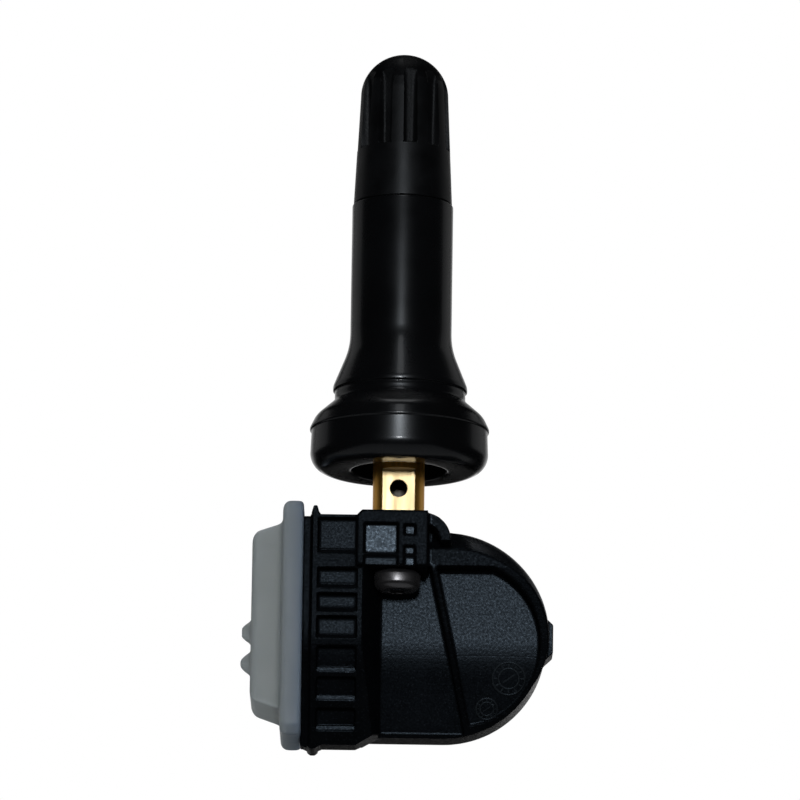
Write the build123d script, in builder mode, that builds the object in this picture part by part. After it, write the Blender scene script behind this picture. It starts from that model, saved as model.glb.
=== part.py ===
import os
from math import cos, pi, radians, sin
from build123d import *

os.makedirs("parts", exist_ok=True)

# Frame: the valve axis is Z and points to the cap, X runs along the sensor box, -Y is the front.
# The origin is the middle of the groove that sits in the rim hole. Sizes in mm.

# Fits
seat_gap = 0.02
bond_gap = 0.02
slide_gap = 0.06
thread_gap = 0.10
weld_gap = 0.02
cut = 1.0

# Sides of the small round rods and rings that lie inside
rod_sides = 16

# Cap
cap_bottom = 21.2
cap_skirt_r = 5.25
cap_waist_z = 27.0
cap_waist_r = 4.98
dome_z = 33.05
dome_r = 4.70
dome_chords = 3
flute_count = 11
flute_w = 1.42
flute_floor_r = 4.10
flute_phase = 8.2
cap_seal_h = 0.70

# Rubber valve body
rubber_top = 21.15
body_r = 5.38
flare_z = 5.6
ring_r = 7.12
ring_z = 0.75
groove_r = 6.92
groove_bottom = -0.3
shoulder_r = 8.85
shoulder_z = -1.9
side_r = 9.50
side_top = -3.3
foot_round = 1.92
foot_chords = 2
rubber_bottom = -7.85
recess_r = 5.0
recess_top = -5.6

# Brass stem
stem_top = 26.9
stem_r = 3.85
tang_r = 2.73
tang_flat = 2.13
tang_flat_top = -7.88
stem_bottom = -17.2
vent_z = -10.0
vent_r = 0.93
chamber_r = 2.62
chamber_bottom = 22.4
air_r = 1.80
air_bottom = -10.9

# Valve core
plug_top = 26.1
plug_slot_w = 1.1
plug_slot_h = 0.8
core_seal_h = 0.5
barrel_r = 1.62
barrel_bottom = 14.5
pin_r = 0.5
pin_top = 26.5
pin_head_r = 1.0
pin_head_h = 1.1
cup_r = 1.45
cup_h = 1.4
spring_r = 0.80
spring_wire_r = 0.14
spring_turns = 4
spring_steps = 8
spring_bore_r = 1.12

# Fixing screw
screw_r = 1.7
screw_top = -12.4
screw_tip_room = 0.4
screw_head_r = 2.42
screw_head_h = 2.2
screw_head_round = 0.9
head_chords = 2
drive_r = 1.15
drive_root_r = 0.85
drive_lobes = 6
drive_depth = 0.9

# Sensor box, ladder side
weld_x = -10.0
box_back = 10.0
rail_front = -2.6
ladder_top = -12.95
ladder_bottom = -36.95
pocket_x0 = -8.37
pocket_x1 = -4.2
rail_x1 = -3.6
flank_x1 = -1.75
bend_z = -27.0
ladder_slope = 0.36
pocket_depth = 1.15
pocket_draft = 0.55
ladder_pockets = [
    (-13.3, -17.15), (-18.7, -20.85), (-21.4, -23.35), (-23.85, -26.2),
    (-27.0, -29.6), (-30.1, -32.45), (-33.25, -35.5),
]
rib_x0 = -9.05
rib_top = -12.0
rib_foot = -37.35
rib_back = 6.0
strip_depth = 1.2
heel_y = 4.5
heel_z = -32.0

# Sensor box, round battery end
floor_y = 2.6
floor_slope = 0.30
end_x = 5.0
end_z = -24.65
end_r = 10.9
back_edge = 1.2
frame_front = -0.3
frame_x = 6.3
frame_z = -25.5
frame_inset = 1.5
frame_left = 3.4
frame_inner_top = -17.9
frame_bend_y = 1.3
frame_foot_y = 4.4
panel_x = 6.6
panel_z = -25.7
panel_rim = 0.84
panel_foot = 0.35
divider_top_x = 3.84
divider_foot_x = 7.6
divider_foot_z = -35.0
divider_w = 0.65
nub_x = 16.56
nub_top = -22.4
nub_bottom = -27.6
nub_draft = 1.1
nub_depth = 4.0

# Valve block on the sensor box
block_x0 = -4.3
block_x1 = 3.15
block_top = -12.6
block_bottom = -18.5
block_front = -3.6
block_back = 3.2
block_corner = 0.5
block_pocket_depth = 0.65
block_pockets = [
    (-3.55, 0.0, -14.03, -17.24), (0.66, 1.85, -14.1, -15.23), (0.66, 1.85, -16.4, -17.35),
]
lip_top = -17.5
lip_depth = 0.35
hook_x = 2.6
hook_z = -15.6
hook_in_r = 1.85
web_x0 = 3.1
web_x1 = 3.75
web_front = 0.7
web_top = -14.0

# Inside of the sensor box
cavity_front = 5.4
cavity_back = 9.1
wall = 1.0
cell_d = 16.0
cell_h = 2.5
tab_t = 0.2
tab_w = 3.0
tab_offset = 2.5
tab_leg_gap = 1.1
tab_reach = 6.0
board_t = 0.7
board_x0 = -12.6
board_gap = 0.4
board_sides = 8

# Lid
lid_x1 = -12.15
lid_face_x = -15.35
lid_top = -11.35
lid_bottom = -36.35
lid_edge = 0.5
lid_corner = 0.9
lid_box_y = (-1.0, 9.95)
lid_base_z = (-33.8, -13.45)
lid_face_z = (-32.5, -14.7)
lid_wall = 0.75
lid_nub_z = (-24.4, -27.75)
lid_nub_y = 5.0
lid_nub_r = 1.2
lid_nub_sides = 12
lid_nub_h = 1.15
lid_nub_edge = 0.55
port_r = 0.4

# Small parts on the board
chip_x = (-12.3, -7.7)
chip_l = 4.8
chip_margin = 0.7
chip_h = 1.6
channel_w = 0.8
elbow_x = -11.6
elbow_w = 2.6
coil_x = (-11.8, -9.4)
coil_l = 6.2
coil_h = 2.2
coil_cheek = 1.1
winding_t = 0.3
crystal_w = 1.6
crystal_z = (-29.8, -27.2)
crystal_h = 0.8
antenna_l = 7.0
antenna_w = 0.8
antenna_t = 0.3
antenna_edge = 0.5
capacitor_spots = [(-8.6, -17.4), (-7.4, -17.4), (-6.2, -17.4), (-8.6, -21.0), (-5.8, -25.4)]
capacitor_size = (0.5, 1.0, 0.5)
resistor_spots = [(-8.6, -18.8), (-7.4, -18.8), (-6.2, -18.8), (-5.8, -26.4)]
resistor_size = (0.5, 1.0, 0.35)
inductor_spots = [(-6.9, -20.6), (-6.9, -22.3)]
inductor_size = (1.6, 0.8, 0.8)


def front_plane(y):
    return Plane.XZ.offset(-y)


def radial_plane(angle, distance):
    out = (cos(radians(angle)), sin(radians(angle)), 0)
    side = (-out[1], out[0], 0)
    return Plane(origin=(out[0] * distance, out[1] * distance, 0), x_dir=side, z_dir=out)


def arc_points(r, z, radius, start, end, chords):
    angles = [radians(start + (end - start) * i / chords) for i in range(chords + 1)]
    return [(r + radius * cos(a), z + radius * sin(a)) for a in angles]


def turned(points, mode=Mode.ADD):
    with BuildSketch(Plane.XZ) as half:
        with BuildLine():
            Polyline(*points, close=True)
        make_face()
    revolve(half.sketch, axis=Axis.Z, mode=mode)


def rod(radius, z0, z1, bore_r=0):
    with BuildSketch(Plane.XY.offset(z0)) as section:
        RegularPolygon(radius, rod_sides)
        if bore_r:
            RegularPolygon(bore_r, rod_sides, major_radius=False, mode=Mode.SUBTRACT)
    extrude(section.sketch, amount=z1 - z0)


def slab(x0, x1, y0, y1, z0, z1, mode=Mode.ADD):
    with BuildSketch(front_plane(y0)) as face:
        with Locations(((x0 + x1) / 2, (z0 + z1) / 2)):
            Rectangle(x1 - x0, z1 - z0)
    extrude(face.sketch, amount=-(y1 - y0), mode=mode)


def front_prism(points, y0, y1, mode=Mode.ADD):
    with BuildSketch(front_plane(y0)) as face:
        with BuildLine():
            Polyline(*points, close=True)
        make_face()
    extrude(face.sketch, amount=-(y1 - y0), mode=mode)


def side_prism(points, x0, x1, mode=Mode.ADD):
    with BuildSketch(Plane.YZ.offset(x0)) as face:
        with BuildLine():
            Polyline(*points, close=True)
        make_face()
    extrude(face.sketch, amount=x1 - x0, mode=mode)


# Valve cap
cap_bore_r = stem_r + thread_gap
cap_seal_bottom = stem_top + seat_gap
cap_bore_top = cap_seal_bottom + cap_seal_h + seat_gap
flute_h = dome_z + dome_r - cap_waist_z
with BuildPart() as valve_cap:
    turned(
        [(0, cap_bottom), (cap_skirt_r, cap_bottom), (cap_waist_r, cap_waist_z)]
        + arc_points(0, dome_z, dome_r, 0, 90, dome_chords)
    )
    with BuildSketch(Plane.XY.offset(cap_bottom)):
        Circle(cap_bore_r)
    extrude(amount=cap_bore_top - cap_bottom, mode=Mode.SUBTRACT)
    for i in range(flute_count):
        with BuildSketch(radial_plane(flute_phase - 90 + i * 360 / flute_count, flute_floor_r)):
            with Locations((0, cap_waist_z + flute_h / 2)):
                Rectangle(flute_w, flute_h)
        extrude(amount=cut, mode=Mode.SUBTRACT)
valve_cap.part.label = "valve_cap"
export_step(valve_cap.part, "parts/valve_cap.step")

# Sealing washer in the cap
with BuildPart() as cap_seal:
    rod(cap_bore_r - seat_gap, cap_seal_bottom, cap_seal_bottom + cap_seal_h)
cap_seal.part.label = "cap_seal"
export_step(cap_seal.part, "parts/cap_seal.step")

# Rubber valve body, bonded round the stem
with BuildPart() as valve_rubber:
    turned(
        [
            (stem_r + bond_gap, rubber_top), (body_r, rubber_top), (body_r, flare_z), (ring_r, ring_z),
            (groove_r, ring_z), (groove_r, groove_bottom), (shoulder_r, shoulder_z), (side_r, side_top),
        ]
        + arc_points(
            side_r - foot_round, rubber_bottom + foot_round, foot_round, 0, -90, foot_chords
        )
        + [(recess_r, rubber_bottom), (recess_r, recess_top), (stem_r + bond_gap, recess_top)]
    )
valve_rubber.part.label = "valve_rubber"
export_step(valve_rubber.part, "parts/valve_rubber.step")

# Brass stem with two flats, a cross hole from the front into the bore and a blind hole for the screw
with BuildPart() as brass_stem:
    turned(
        [
            (0, stem_top), (stem_r, stem_top), (stem_r, recess_top), (tang_r, recess_top),
            (tang_r, stem_bottom), (0, stem_bottom),
        ]
    )
    for side in (-1, 1):
        slab(
            -2 * tang_r, 2 * tang_r, *sorted((side * tang_flat, side * 2 * tang_r)),
            stem_bottom - cut, tang_flat_top, Mode.SUBTRACT,
        )
    turned(
        [
            (0, stem_top + cut), (chamber_r, stem_top + cut), (chamber_r, chamber_bottom),
            (air_r, chamber_bottom), (air_r, air_bottom), (0, air_bottom),
        ],
        Mode.SUBTRACT,
    )
    with BuildSketch(front_plane(-2 * tang_r)):
        with Locations((0, vent_z)):
            Circle(vent_r)
    extrude(amount=-2 * tang_r, mode=Mode.SUBTRACT)
    with BuildSketch(Plane.XY.offset(stem_bottom)):
        Circle(screw_r + seat_gap)
    extrude(amount=screw_top + screw_tip_room - stem_bottom, mode=Mode.SUBTRACT)
brass_stem.part.label = "brass_stem"
export_step(brass_stem.part, "parts/brass_stem.step")

# Valve core: seal ring on the step in the stem, threaded plug, barrel, pin, cup and spring
plug_r = chamber_r - bond_gap
core_seal_bottom = chamber_bottom + seat_gap
plug_bottom = core_seal_bottom + core_seal_h + seat_gap
with BuildPart() as core_plug:
    rod(plug_r, plug_bottom, plug_top, spring_bore_r)
    for side in (-1, 1):
        with BuildSketch(Plane.XY.offset(plug_top)):
            with Locations((side * (plug_slot_w / 2 + plug_r), 0)):
                Rectangle(2 * plug_r, 4 * plug_r)
        extrude(amount=-plug_slot_h, mode=Mode.SUBTRACT)
core_plug.part.label = "core_plug"
export_step(core_plug.part, "parts/core_plug.step")

with BuildPart() as core_seal:
    rod(plug_r, core_seal_bottom, core_seal_bottom + core_seal_h, barrel_r + bond_gap)
core_seal.part.label = "core_seal"
export_step(core_seal.part, "parts/core_seal.step")

barrel_top = plug_bottom - seat_gap
with BuildPart() as core_barrel:
    rod(barrel_r, barrel_bottom, barrel_top, pin_r + slide_gap)
core_barrel.part.label = "core_barrel"
export_step(core_barrel.part, "parts/core_barrel.step")

pin_head_bottom = pin_top - pin_head_h
with BuildPart() as core_pin:
    rod(pin_r, barrel_bottom, pin_head_bottom)
    rod(pin_head_r, pin_head_bottom, pin_top)
core_pin.part.label = "core_pin"
export_step(core_pin.part, "parts/core_pin.step")

cup_top = barrel_bottom - bond_gap
with BuildPart() as core_cup:
    rod(cup_r, cup_top - cup_h, cup_top)
core_cup.part.label = "core_cup"
export_step(core_cup.part, "parts/core_cup.step")

spring_bottom = barrel_top + seat_gap + spring_wire_r
spring_rise = pin_head_bottom - seat_gap - spring_wire_r - spring_bottom
spring_points = [
    (
        spring_r * cos(2 * pi * i / spring_steps),
        spring_r * sin(2 * pi * i / spring_steps),
        spring_bottom + spring_rise * i / (spring_steps * spring_turns),
    )
    for i in range(spring_steps * spring_turns + 1)
]
with BuildPart() as core_spring:
    with BuildLine() as coil:
        Polyline(*spring_points)
    with BuildSketch(Plane(origin=coil.line @ 0, z_dir=coil.line % 0)):
        RegularPolygon(spring_wire_r, 4)
    sweep(path=coil.line, transition=Transition.RIGHT)
core_spring.part.label = "core_spring"
export_step(core_spring.part, "parts/core_spring.step")

# Fixing screw, head under the valve block
head_top = block_bottom - seat_gap
head_bottom = head_top - screw_head_h
with BuildPart() as fixing_screw:
    rod(screw_r, head_top, screw_top)
    turned(
        [(0, head_top), (screw_head_r, head_top)]
        + arc_points(
            screw_head_r - screw_head_round, head_bottom + screw_head_round, screw_head_round,
            0, -90, head_chords,
        )
        + [(0, head_bottom)]
    )
    drive_points = [
        (radius * cos(pi * (i + shift) / drive_lobes), radius * sin(pi * (i + shift) / drive_lobes))
        for i in range(0, 2 * drive_lobes, 2)
        for radius, shift in ((drive_r, 0), (drive_root_r, 1))
    ]
    with BuildSketch(Plane.XY.offset(head_bottom)):
        with BuildLine():
            Polyline(*drive_points, close=True)
        make_face()
    extrude(amount=drive_depth, mode=Mode.SUBTRACT)
fixing_screw.part.label = "fixing_screw"
export_step(fixing_screw.part, "parts/fixing_screw.step")

# Sensor housing, open towards the lid
box_right = end_x + end_r
end_bottom = end_z - end_r
floor_foot_y = floor_y + (bend_z - ladder_bottom) * floor_slope
frame_r = end_r - frame_inset
panel_r = frame_r - panel_rim
hook_out_r = block_top - hook_z
half_divider = divider_w / 2
divider_lean = (divider_foot_x - divider_top_x) / (frame_inner_top - divider_foot_z)
divider_end_x = divider_top_x + divider_lean * (frame_inner_top - ladder_bottom)
panel_foot_z = end_bottom + panel_foot
panel_foot_x = divider_top_x + divider_lean * (frame_inner_top - panel_foot_z)
board_z = (lid_face_z[0] + lid_wall + board_gap, lid_face_z[1] - lid_wall - board_gap)

with BuildPart() as panel_cut:
    with BuildSketch(front_plane(frame_front - cut)):
        with Locations((panel_x, panel_z)):
            Circle(panel_r)
        with BuildLine(mode=Mode.PRIVATE) as right_panel:
            Polyline(
                (divider_top_x + half_divider, frame_inner_top), (box_right, frame_inner_top),
                (box_right, ladder_bottom), (divider_end_x + half_divider, ladder_bottom), close=True,
            )
        make_face(right_panel.edges(), mode=Mode.INTERSECT)
        with BuildLine(mode=Mode.PRIVATE) as left_panel:
            Polyline(
                (weld_x, frame_inner_top), (divider_top_x - half_divider, frame_inner_top),
                (panel_foot_x - half_divider, panel_foot_z), (weld_x, panel_foot_z), close=True,
            )
        make_face(left_panel.edges())
    extrude(amount=-(floor_foot_y - frame_front + cut))
    side_prism(
        [
            (frame_front - cut, frame_inner_top), (floor_y, frame_inner_top), (floor_y, bend_z),
            (floor_foot_y, ladder_bottom), (frame_front - cut, ladder_bottom),
        ],
        weld_x, box_right, Mode.INTERSECT,
    )


def ladder_front(z):
    return rail_front + max(0, bend_z - z) * ladder_slope


def end_outline(x, z, radius, left, y):
    with BuildSketch(front_plane(y)) as outline:
        with BuildLine():
            Line((left, z + radius), (x, z + radius))
            CenterArc((x, z), radius, 90, -180)
            Polyline((x, z - radius), (left, z - radius), (left, z + radius))
        make_face()
    return outline.sketch


with BuildPart() as housing:
    # plate with the round end, and the tapered frame that stands on it
    extrude(end_outline(end_x, end_z, end_r, weld_x, floor_y), amount=-(box_back - floor_y))
    back_face = housing.faces().sort_by(Axis.Y)[-1]
    chamfer(back_face.edges().filter_by(lambda e: e.center().X > weld_x + cut), back_edge)
    loft(
        [
            end_outline(frame_x, frame_z, frame_r, frame_left, frame_front),
            end_outline(end_x, end_z, end_r, frame_left, floor_y),
        ],
        ruled=True,
    )
    side_prism(
        [
            (frame_front - cut, frame_inner_top), (frame_front, frame_inner_top), (frame_bend_y, bend_z),
            (frame_foot_y, end_bottom), (frame_front - cut, end_bottom),
        ],
        weld_x, box_right + cut, Mode.SUBTRACT,
    )
    add(panel_cut.part, mode=Mode.SUBTRACT)
    # ladder side with its sloped flank, bent front and cut-off heel
    with BuildSketch(Plane.XY.offset(ladder_bottom)):
        with BuildLine():
            Polyline(
                (weld_x, rail_front), (rail_x1, rail_front), (flank_x1, floor_y), (flank_x1, cavity_front),
                (rail_x1, cavity_front), (rail_x1, box_back), (weld_x, box_back), close=True,
            )
        make_face()
    extrude(amount=ladder_top - ladder_bottom)
    slab(rib_x0, pocket_x0, rail_front, rib_back, rib_foot, rib_top)
    side_prism(
        [
            (rail_front - cut, bend_z), (rail_front, bend_z), (ladder_front(rib_foot), rib_foot),
            (rail_front - cut, rib_foot),
        ],
        weld_x, flank_x1, Mode.SUBTRACT,
    )
    # outer strip that lies deeper than the rib beside it
    side_prism(
        [
            (rail_front - cut, ladder_top), (rail_front + strip_depth, ladder_top),
            (rail_front + strip_depth, bend_z), (ladder_front(ladder_bottom) + strip_depth, ladder_bottom),
            (rail_front - cut, ladder_bottom),
        ],
        weld_x, rib_x0, Mode.SUBTRACT,
    )
    side_prism(
        [(box_back, heel_z), (heel_y, ladder_bottom), (box_back, ladder_bottom)],
        weld_x, rail_x1, Mode.SUBTRACT,
    )
    front_prism(
        [(pocket_x1, ladder_bottom), (flank_x1, end_bottom), (flank_x1, ladder_bottom)],
        rail_front, box_back, Mode.SUBTRACT,
    )
    # pockets between the rungs, each with a lower wall that slopes out to the front
    for pocket_top, pocket_bottom in ladder_pockets:
        pocket_foot = pocket_bottom + pocket_draft
        side_prism(
            [
                (rail_front - cut, pocket_top), (ladder_front(pocket_top) + pocket_depth, pocket_top),
                (ladder_front(pocket_foot) + pocket_depth, pocket_foot),
                (ladder_front(pocket_bottom), pocket_bottom), (rail_front - cut, pocket_bottom),
            ],
            pocket_x0, pocket_x1, Mode.SUBTRACT,
        )
    # valve block with its pockets, and the hook beside it
    front_prism(
        [
            (block_x0, block_bottom), (block_x1, block_bottom), (block_x1, block_top),
            (block_x0 + block_corner, block_top), (block_x0, block_top - block_corner),
        ],
        block_front, block_back,
    )
    for x0, x1, z1, z0 in block_pockets:
        slab(x0, x1, block_front, block_front + block_pocket_depth, z0, z1, Mode.SUBTRACT)
    for x0, x1, z1, z0 in block_pockets[:2]:
        slab(x0, x1, block_front, block_front + lip_depth, block_bottom, lip_top, Mode.SUBTRACT)
    with BuildSketch(front_plane(rail_front)):
        with Locations((hook_x, hook_z)):
            Circle(hook_out_r)
            Circle(hook_in_r, mode=Mode.SUBTRACT)
        with Locations((hook_x + hook_out_r / 2, hook_z + hook_out_r / 2)):
            Rectangle(hook_out_r, hook_out_r, mode=Mode.INTERSECT)
    extrude(amount=-(block_back - rail_front))
    slab(web_x0, web_x1, web_front, block_back, frame_inner_top, web_top)
    # keyed socket for the stem and the screw hole below it
    with BuildSketch(Plane.XY.offset(block_top)):
        Circle(tang_r + slide_gap)
        Rectangle(4 * tang_r, 2 * (tang_flat + slide_gap), mode=Mode.INTERSECT)
    extrude(amount=stem_bottom - seat_gap - block_top, mode=Mode.SUBTRACT)
    with BuildSketch(Plane.XY.offset(block_bottom)):
        Circle(screw_r + thread_gap)
    extrude(amount=stem_bottom - block_bottom, mode=Mode.SUBTRACT)
    # stop nub on the round end
    front_prism(
        [
            (box_right - wall / 2, nub_top), (nub_x, nub_top - nub_draft),
            (nub_x, nub_bottom + nub_draft), (box_right - wall / 2, nub_bottom),
        ],
        floor_y, floor_y + nub_depth,
    )
    # hollow inside
    with BuildSketch(front_plane(cavity_front)):
        with Locations((end_x, end_z)):
            Circle(end_r - wall)
    extrude(amount=-(cavity_back - cavity_front), mode=Mode.SUBTRACT)
    slab(
        weld_x, end_x, cavity_front, cavity_back,
        board_z[0] - board_gap, board_z[1] + board_gap, Mode.SUBTRACT,
    )
    slab(
        weld_x, pocket_x1, rail_front + pocket_depth + wall, cavity_front,
        bend_z + wall, ladder_top - wall, Mode.SUBTRACT,
    )
housing.part.label = "housing"
export_step(housing.part, "parts/housing.step")

# Lid, welded on the open side
lid_x0 = weld_x - weld_gap


def lid_box(x0, x1, inset, mode=Mode.ADD):
    front_prism(
        [
            (x0, lid_base_z[1] - inset), (x1, lid_face_z[1] - inset),
            (x1, lid_face_z[0] + inset), (x0, lid_base_z[0] + inset),
        ],
        lid_box_y[0] + inset, lid_box_y[1] - inset, mode,
    )


with BuildPart() as lid:
    slab(lid_x1, lid_x0, rail_front, box_back, lid_bottom, lid_top)
    chamfer(lid.edges().filter_by(Axis.X), lid_corner)
    chamfer(lid.faces().sort_by(Axis.X)[0].edges(), lid_edge)
    lid_box(lid_x1 + lid_edge, lid_face_x, 0)
    chamfer(lid.faces().sort_by(Axis.X)[0].edges(), lid_edge)
    for nub_z in lid_nub_z:
        with BuildSketch(Plane.YZ.offset(lid_face_x)):
            with Locations((lid_nub_y, nub_z)):
                RegularPolygon(lid_nub_r, lid_nub_sides)
        extrude(amount=-lid_nub_h)
    chamfer(lid.faces().group_by(Axis.X)[0].edges(), lid_nub_edge)
    lid_box(lid_x0, lid_face_x + lid_wall, lid_wall, Mode.SUBTRACT)
    with BuildSketch(Plane.YZ.offset(lid_face_x - lid_nub_h)):
        with Locations((lid_nub_y, lid_nub_z[0])):
            Circle(port_r)
    extrude(amount=lid_nub_h + lid_wall, mode=Mode.SUBTRACT)
lid.part.label = "lid"
export_step(lid.part, "parts/lid.step")

# Circuit board, flat against the back wall
board_front = cavity_back - seat_gap - board_t
board_r = end_r - wall - board_gap
board_half = board_r * cos(pi / board_sides)
with BuildPart() as circuit_board:
    with BuildSketch(front_plane(board_front)):
        with Locations((end_x, end_z)):
            RegularPolygon(board_half, board_sides, major_radius=False)
        with Locations(((board_x0 + end_x) / 2, (board_z[0] + board_z[1]) / 2)):
            Rectangle(end_x - board_x0, board_z[1] - board_z[0])
    extrude(amount=-board_t)
circuit_board.part.label = "circuit_board"
export_step(circuit_board.part, "parts/circuit_board.step")

# Coin cell between its two welded tabs
mount_y = board_front - seat_gap
minus_front = mount_y - tab_t
cell_back = minus_front - seat_gap
with BuildPart() as coin_cell:
    with BuildSketch(front_plane(cell_back)):
        with Locations((end_x, end_z)):
            Circle(cell_d / 2)
    extrude(amount=cell_h)
coin_cell.part.label = "coin_cell"
export_step(coin_cell.part, "parts/coin_cell.step")

plus_back = cell_back - cell_h - seat_gap
plus_front = plus_back - tab_t
tab_leg_x = end_x - cell_d / 2 - tab_leg_gap - tab_t
plus_z = (end_z + tab_offset - tab_w / 2, end_z + tab_offset + tab_w / 2)
minus_z = (end_z - tab_offset - tab_w / 2, end_z - tab_offset + tab_w / 2)
with BuildPart() as cell_tab_plus:
    slab(tab_leg_x, end_x - tab_reach, plus_front, plus_back, *plus_z)
    slab(tab_leg_x, tab_leg_x + tab_t, plus_front, mount_y, *plus_z)
cell_tab_plus.part.label = "cell_tab_plus"
export_step(cell_tab_plus.part, "parts/cell_tab_plus.step")

with BuildPart() as cell_tab_minus:
    slab(tab_leg_x, end_x - tab_reach, minus_front, mount_y, *minus_z)
cell_tab_minus.part.label = "cell_tab_minus"
export_step(cell_tab_minus.part, "parts/cell_tab_minus.step")

# Pressure chip and the soft elbow that leads to the port in the lid
chip_front = mount_y - chip_h
chip_top = lid_nub_z[0] + chip_margin
chip_z = (chip_top - chip_l, chip_top)
half_channel = channel_w / 2
port_z = lid_nub_z[0]
channel_x = (elbow_x - half_channel, elbow_x + half_channel)
channel_z = (port_z - half_channel, port_z + half_channel)
with BuildPart() as pressure_chip:
    slab(*chip_x, chip_front, mount_y, *chip_z)
    slab(*channel_x, chip_front, chip_front + chip_h / 2, *channel_z, Mode.SUBTRACT)
pressure_chip.part.label = "pressure_chip"
export_step(pressure_chip.part, "parts/pressure_chip.step")

half_elbow = elbow_w / 2
gasket_x0 = lid_face_x + lid_wall + seat_gap
gasket_back = chip_front - seat_gap
with BuildPart() as port_gasket:
    slab(
        gasket_x0, elbow_x + half_elbow, lid_nub_y - half_elbow, gasket_back,
        port_z - half_elbow, port_z + half_elbow,
    )
    slab(
        gasket_x0, channel_x[1], lid_nub_y - half_channel, lid_nub_y + half_channel,
        *channel_z, Mode.SUBTRACT,
    )
    slab(*channel_x, lid_nub_y, gasket_back, *channel_z, Mode.SUBTRACT)
port_gasket.part.label = "port_gasket"
export_step(port_gasket.part, "parts/port_gasket.step")

# Wake-up coil: ferrite core with cheeks and its winding
core_t = 2 * winding_t
coil_front = mount_y - coil_h
coil_bottom = port_z + half_elbow + board_gap
coil_z = (coil_bottom, coil_bottom + coil_l)
with BuildPart() as coil_core:
    slab(*coil_x, coil_front, mount_y, coil_z[0], coil_z[0] + coil_cheek)
    slab(*coil_x, coil_front, mount_y, coil_z[1] - coil_cheek, coil_z[1])
    slab(coil_x[0] + core_t, coil_x[1] - core_t, coil_front + core_t, mount_y - core_t, *coil_z)
coil_core.part.label = "coil_core"
export_step(coil_core.part, "parts/coil_core.step")

winding_hole = core_t - seat_gap
with BuildPart() as coil_winding:
    slab(
        coil_x[0] + winding_t, coil_x[1] - winding_t, coil_front + winding_t, mount_y - winding_t,
        coil_z[0] + coil_cheek + seat_gap, coil_z[1] - coil_cheek - seat_gap,
    )
    slab(
        coil_x[0] + winding_hole, coil_x[1] - winding_hole, coil_front + winding_hole, mount_y - winding_hole,
        *coil_z, Mode.SUBTRACT,
    )
coil_winding.part.label = "coil_winding"
export_step(coil_winding.part, "parts/coil_winding.step")

# Crystal can
crystal_x = (tab_leg_x - board_gap - crystal_w, tab_leg_x - board_gap)
with BuildPart() as crystal:
    slab(*crystal_x, mount_y - crystal_h, mount_y, *crystal_z)
crystal.part.label = "crystal"
export_step(crystal.part, "parts/crystal.step")

# Bent strip antenna standing on two legs along the lower edge of the board
antenna_x0 = board_x0 + antenna_edge
antenna_x1 = antenna_x0 + antenna_l
antenna_z0 = board_z[0] + antenna_edge
antenna_z = (antenna_z0, antenna_z0 + antenna_w)
antenna_front = cavity_front + antenna_t
with BuildPart() as antenna_strip:
    slab(antenna_x0, antenna_x1, antenna_front, antenna_front + antenna_t, *antenna_z)
    for x0 in (antenna_x0, antenna_x1 - antenna_t):
        slab(x0, x0 + antenna_t, antenna_front, mount_y, *antenna_z)
antenna_strip.part.label = "antenna_strip"
export_step(antenna_strip.part, "parts/antenna_strip.step")


def chip_row(spots, size):
    half_w = size[0] / 2
    half_l = size[1] / 2
    for x, z in spots:
        slab(x - half_w, x + half_w, mount_y - size[2], mount_y, z - half_l, z + half_l)


# Small chips soldered on the board
with BuildPart() as chip_capacitors:
    chip_row(capacitor_spots, capacitor_size)
chip_capacitors.part.label = "chip_capacitors"
export_step(chip_capacitors.part, "parts/chip_capacitors.step")

with BuildPart() as chip_resistors:
    chip_row(resistor_spots, resistor_size)
chip_resistors.part.label = "chip_resistors"
export_step(chip_resistors.part, "parts/chip_resistors.step")

with BuildPart() as chip_inductors:
    chip_row(inductor_spots, inductor_size)
chip_inductors.part.label = "chip_inductors"
export_step(chip_inductors.part, "parts/chip_inductors.step")
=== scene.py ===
from math import atan2, cos, pi, radians, sin

import bmesh
import bpy
from bpy.props import FloatProperty, FloatVectorProperty, IntProperty, PointerProperty
from mathutils import Matrix, Quaternion, Vector


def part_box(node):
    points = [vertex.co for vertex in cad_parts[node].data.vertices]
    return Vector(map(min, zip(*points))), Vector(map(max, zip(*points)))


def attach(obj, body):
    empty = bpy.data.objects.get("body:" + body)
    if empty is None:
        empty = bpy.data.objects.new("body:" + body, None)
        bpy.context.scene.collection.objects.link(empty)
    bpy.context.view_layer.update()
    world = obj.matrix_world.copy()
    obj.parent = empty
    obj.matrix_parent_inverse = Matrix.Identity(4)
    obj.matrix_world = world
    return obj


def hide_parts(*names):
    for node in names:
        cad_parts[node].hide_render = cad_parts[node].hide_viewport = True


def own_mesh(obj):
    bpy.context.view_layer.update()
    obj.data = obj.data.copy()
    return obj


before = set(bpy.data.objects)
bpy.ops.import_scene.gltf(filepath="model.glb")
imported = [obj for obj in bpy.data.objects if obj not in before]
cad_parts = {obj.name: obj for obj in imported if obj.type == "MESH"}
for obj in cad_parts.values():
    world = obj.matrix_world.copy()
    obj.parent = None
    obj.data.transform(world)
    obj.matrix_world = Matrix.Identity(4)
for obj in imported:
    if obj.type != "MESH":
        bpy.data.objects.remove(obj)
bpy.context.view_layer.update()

bl_info = {
    "name": "Tyre Pressure Sensor",
    "version": (1, 0, 0),
    "blender": (4, 5, 0),
    "location": "3D View > Sidebar > Sensor",
    "description": "Dresses a snap-in valve with its tyre pressure sensor",
    "category": "Object",
}

MM = 0.001
CAP_LOW, CAP_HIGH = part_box("valve_cap")
RUBBER_LOW, RUBBER_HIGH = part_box("valve_rubber")
SCREW_LOW, SCREW_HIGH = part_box("fixing_screw")
STEM_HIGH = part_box("brass_stem")[1]
SEAL_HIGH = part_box("cap_seal")[1]

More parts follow.
